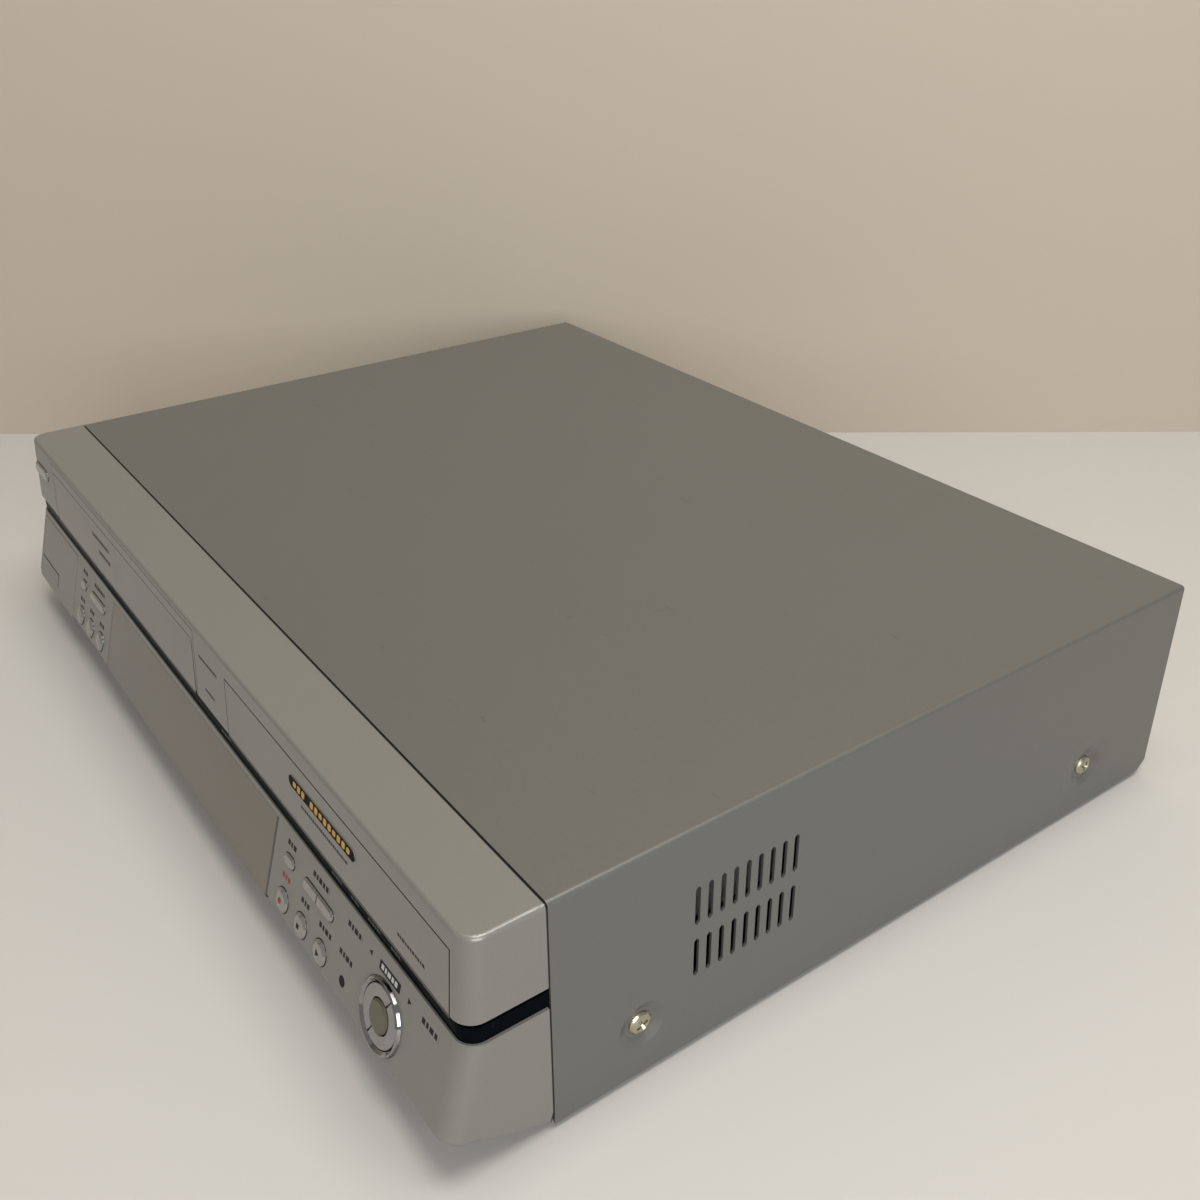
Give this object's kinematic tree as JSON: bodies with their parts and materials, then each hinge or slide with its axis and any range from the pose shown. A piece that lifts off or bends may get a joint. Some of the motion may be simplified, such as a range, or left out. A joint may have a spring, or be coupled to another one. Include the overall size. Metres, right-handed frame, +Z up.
{
  "type": "dvd vcr combo player",
  "caption": "Full-width silver component with a cassette flap and a disc tray side by side, waisted front, dial and display window.",
  "frame": {"origin": "on the floor under the middle of the outline", "axes": "+Z up, front towards -Y, +X to the right when looking at the front"},
  "size_m": [0.431, 0.3406, 0.089],
  "materials": {
    "cover_paint": "satin silver-grey baked paint, fine metallic grain",
    "silver_moulding": "satin silver paint on moulded plastic",
    "silver_button": "bright silver plating on plastic",
    "gloss_black": "polished black",
    "dark_lens": "dark smoked plastic",
    "tinted_window": "half-mirrored brown tint",
    "bright_chrome": "polished plating",
    "champagne_metal": "champagne metallic, satin",
    "zinc_steel": "zinc-plated sheet steel",
    "nickel_screw": "nickel plating, slightly yellowed",
    "foot_rubber": "matt",
    "circuit_board": "tan paper-phenolic board",
    "black_plastic": "fine matt moulding",
    "roller_rubber": "ground rubber",
    "machined_aluminium": "turned",
    "turned_steel": "ground and turned",
    "sleeve_brass": "sintered bearing",
    "white_plastic": "acetal",
    "core_steel": "varnished"
  },
  "bodies": {
    "cabinet": {"ac_inlet": "black_plastic", "accent_strip": "gloss_black", "base_chassis": "zinc_steel", "capstan_motor": "sleeve_brass", "cover_screws": "nickel_screw", "deck_chassis": "zinc_steel", "dial_ring": "bright_chrome", "display_window": "tinted_window", "drive_housing": "zinc_steel", "fan_frame": "black_plastic", "feet": "foot_rubber", "front_bezel": "silver_moulding", "front_board": "circuit_board", "front_jacks": "black_plastic", "loading_motor": "black_plastic", "lower_drum": "machined_aluminium", "lower_panel": "silver_moulding", "main_board": "circuit_board", "power_board": "circuit_board", "power_parts": "core_steel", "rear_jacks": "black_plastic", "rear_panel": "zinc_steel", "remote_lens": "dark_lens", "top_cover": "cover_paint", "tuner_block": "zinc_steel"},
    "cassette_flap": {"cassette_flap": "silver_moulding"},
    "cassette_basket": {"cassette_basket": "zinc_steel"},
    "loading_gear": {"loading_gear": "white_plastic"},
    "supply_guide": {"supply_guide": "machined_aluminium"},
    "supply_reel": {"supply_reel": "white_plastic"},
    "takeup_guide": {"takeup_guide": "machined_aluminium"},
    "takeup_reel": {"takeup_reel": "white_plastic"},
    "upper_drum": {"upper_drum": "machined_aluminium"},
    "capstan": {"capstan": "turned_steel"},
    "pinch_arm": {"pinch_arm": "black_plastic"},
    "pinch_roller": {"pinch_roller": "roller_rubber"},
    "disc_tray": {"disc_tray": "black_plastic", "tray_fascia": "silver_moulding"},
    "traverse": {"traverse_chassis": "zinc_steel", "spindle_motor": "turned_steel"},
    "turntable": {"turntable": "turned_steel"},
    "disc_clamper": {"disc_clamper": "black_plastic"},
    "pickup_sled": {"pickup_sled": "white_plastic"},
    "sled_gear": {"sled_gear": "white_plastic"},
    "fan_rotor": {"fan_rotor": "black_plastic"},
    "socket_cover": {"socket_cover": "silver_moulding"},
    "power_button": {"power_button": "silver_button"},
    "left_small_button": {"left_small_button": "silver_button"},
    "left_long_button": {"left_long_button": "silver_button"},
    "left_round_button_1": {"left_round_button_1": "silver_button"},
    "left_round_button_2": {"left_round_button_2": "silver_button"},
    "left_round_button_3": {"left_round_button_3": "silver_button"},
    "right_small_button": {"right_small_button": "silver_button"},
    "channel_rocker": {"channel_rocker": "silver_button"},
    "record_button": {"record_button": "silver_button"},
    "stop_button": {"stop_button": "silver_button"},
    "play_button": {"play_button": "silver_button"},
    "dial_left_segment": {"dial_left_segment": "bright_chrome"},
    "dial_right_segment": {"dial_right_segment": "bright_chrome"},
    "dial_centre": {"dial_centre": "champagne_metal"}
  },
  "joints": [
    {"name": "flap_swing", "type": "hinge", "parent": "cabinet", "child": "cassette_flap", "pos_m": [-0.08175, -0.15595, 0.0852], "axis": [1, 0, 0], "range_deg": [0, 95], "stiffness_Nm_per_rad": 0.004, "springref_deg": -20.05},
    {"name": "basket_lift", "type": "slide", "parent": "cabinet", "child": "cassette_basket", "axis": [0, 0, 1], "range_m": [-0.027, 0]},
    {"name": "loading_gear_turn", "type": "hinge", "parent": "cabinet", "child": "loading_gear", "pos_m": [-0.15975, 0.01634, 0.0305], "axis": [0, 0, 1], "range_deg": [0, 182]},
    {"name": "supply_guide_slide", "type": "slide", "parent": "cabinet", "child": "supply_guide", "axis": [0, 1, 0], "range_m": [0, 0.036]},
    {"name": "supply_reel_spin", "type": "hinge", "parent": "cabinet", "child": "supply_reel", "pos_m": [-0.12775, -0.07966, 0.0227], "axis": [0, 0, 1], "continuous": true},
    {"name": "takeup_guide_slide", "type": "slide", "parent": "cabinet", "child": "takeup_guide", "axis": [0, 1, 0], "range_m": [0, 0.036]},
    {"name": "takeup_reel_spin", "type": "hinge", "parent": "cabinet", "child": "takeup_reel", "pos_m": [-0.03575, -0.07966, 0.0227], "axis": [0, 0, 1], "continuous": true},
    {"name": "drum_spin", "type": "hinge", "parent": "cabinet", "child": "upper_drum", "pos_m": [-0.08175, 0.01734, 0.0267], "axis": [0, 0.0872, 0.9962], "continuous": true},
    {"name": "capstan_spin", "type": "hinge", "parent": "cabinet", "child": "capstan", "pos_m": [-0.01975, -0.00966, 0.0227], "axis": [0, 0, 1], "continuous": true},
    {"name": "pinch_arm_swing", "type": "hinge", "parent": "cabinet", "child": "pinch_arm", "pos_m": [0.00805, -0.0112, 0.0375], "axis": [0, 0, 1], "range_deg": [0, 12]},
    {"name": "pinch_roller_spin", "type": "hinge", "parent": "pinch_arm", "child": "pinch_roller", "pos_m": [-0.01061, 0.00046, 0.0375], "axis": [0, 0, 1], "continuous": true},
    {"name": "tray_slide", "type": "slide", "parent": "cabinet", "child": "disc_tray", "axis": [0, -1, 0], "range_m": [0, 0.142]},
    {"name": "traverse_tilt", "type": "hinge", "parent": "cabinet", "child": "traverse", "pos_m": [0.12725, 0.01634, 0.0515], "axis": [1, 0, 0], "range_deg": [0, 3]},
    {"name": "turntable_spin", "type": "hinge", "parent": "traverse", "child": "turntable", "pos_m": [0.12725, -0.06966, 0.0701], "axis": [0, 0, 1], "continuous": true},
    {"name": "clamper_spin", "type": "hinge", "parent": "cabinet", "child": "disc_clamper", "pos_m": [0.12725, -0.06966, 0.0725], "axis": [0, 0, 1], "continuous": true},
    {"name": "sled_slide", "type": "slide", "parent": "traverse", "child": "pickup_sled", "axis": [0, 1, 0], "range_m": [0, 0.033]},
    {"name": "sled_gear_turn", "type": "hinge", "parent": "traverse", "child": "sled_gear", "pos_m": [0.09065, -0.02866, 0.0528], "axis": [0, 0, 1], "range_deg": [0, 317.1]},
    {"name": "fan_spin", "type": "hinge", "parent": "cabinet", "child": "fan_rotor", "pos_m": [0.16, 0.16104, 0.0525], "axis": [0, 1, 0], "continuous": true},
    {"name": "socket_cover_swing", "type": "hinge", "parent": "cabinet", "child": "socket_cover", "pos_m": [-0.1788, -0.16908, 0.01763], "axis": [1, 0, 0], "range_deg": [0, 95]},
    {"name": "power_press", "type": "slide", "parent": "cabinet", "child": "power_button", "axis": [0, 0.9973, -0.0731], "range_m": [0, 0.0008], "stiffness_N_per_m": 250},
    {"name": "left_small_press", "type": "slide", "parent": "cabinet", "child": "left_small_button", "axis": [0, 0.9621, -0.2728], "range_m": [0, 0.0008], "stiffness_N_per_m": 250},
    {"name": "left_long_press", "type": "slide", "parent": "cabinet", "child": "left_long_button", "axis": [0, 0.9621, -0.2728], "range_m": [0, 0.0008], "stiffness_N_per_m": 250},
    {"name": "left_round_1_press", "type": "slide", "parent": "cabinet", "child": "left_round_button_1", "axis": [0, 0.9621, -0.2728], "range_m": [0, 0.0008], "stiffness_N_per_m": 250},
    {"name": "left_round_2_press", "type": "slide", "parent": "cabinet", "child": "left_round_button_2", "axis": [0, 0.9621, -0.2728], "range_m": [0, 0.0008], "stiffness_N_per_m": 250},
    {"name": "left_round_3_press", "type": "slide", "parent": "cabinet", "child": "left_round_button_3", "axis": [0, 0.9621, -0.2728], "range_m": [0, 0.0008], "stiffness_N_per_m": 250},
    {"name": "right_small_press", "type": "slide", "parent": "cabinet", "child": "right_small_button", "axis": [0, 0.9621, -0.2728], "range_m": [0, 0.0008], "stiffness_N_per_m": 250},
    {"name": "channel_rocker_tilt", "type": "hinge", "parent": "cabinet", "child": "channel_rocker", "pos_m": [0.1249, -0.15951, 0.0389], "axis": [0, 0.2728, 0.9621], "range_deg": [-2.5, 2.5], "stiffness_Nm_per_rad": 0.02},
    {"name": "record_press", "type": "slide", "parent": "cabinet", "child": "record_button", "axis": [0, 0.9621, -0.2728], "range_m": [0, 0.0008], "stiffness_N_per_m": 250},
    {"name": "stop_press", "type": "slide", "parent": "cabinet", "child": "stop_button", "axis": [0, 0.9621, -0.2728], "range_m": [0, 0.0008], "stiffness_N_per_m": 250},
    {"name": "play_press", "type": "slide", "parent": "cabinet", "child": "play_button", "axis": [0, 0.9621, -0.2728], "range_m": [0, 0.0008], "stiffness_N_per_m": 250},
    {"name": "dial_left_segment_press", "type": "slide", "parent": "cabinet", "child": "dial_left_segment", "axis": [0, 0.9621, -0.2728], "range_m": [0, 0.0008], "stiffness_N_per_m": 250},
    {"name": "dial_right_segment_press", "type": "slide", "parent": "cabinet", "child": "dial_right_segment", "axis": [0, 0.9621, -0.2728], "range_m": [0, 0.0008], "stiffness_N_per_m": 250},
    {"name": "dial_centre_press", "type": "slide", "parent": "cabinet", "child": "dial_centre", "axis": [0, 0.9621, -0.2728], "range_m": [0, 0.0008], "stiffness_N_per_m": 250}
  ],
  "couplings": [
    {"joint": "loading_gear_turn", "follows": "basket_lift", "rad_per_m": -116.36},
    {"joint": "supply_guide_slide", "follows": "basket_lift", "ratio": -1.3333},
    {"joint": "takeup_guide_slide", "follows": "basket_lift", "ratio": -1.3333},
    {"joint": "clamper_spin", "follows": "turntable_spin", "ratio": 1},
    {"joint": "sled_gear_turn", "follows": "sled_slide", "rad_per_m": 166.67}
  ]
}
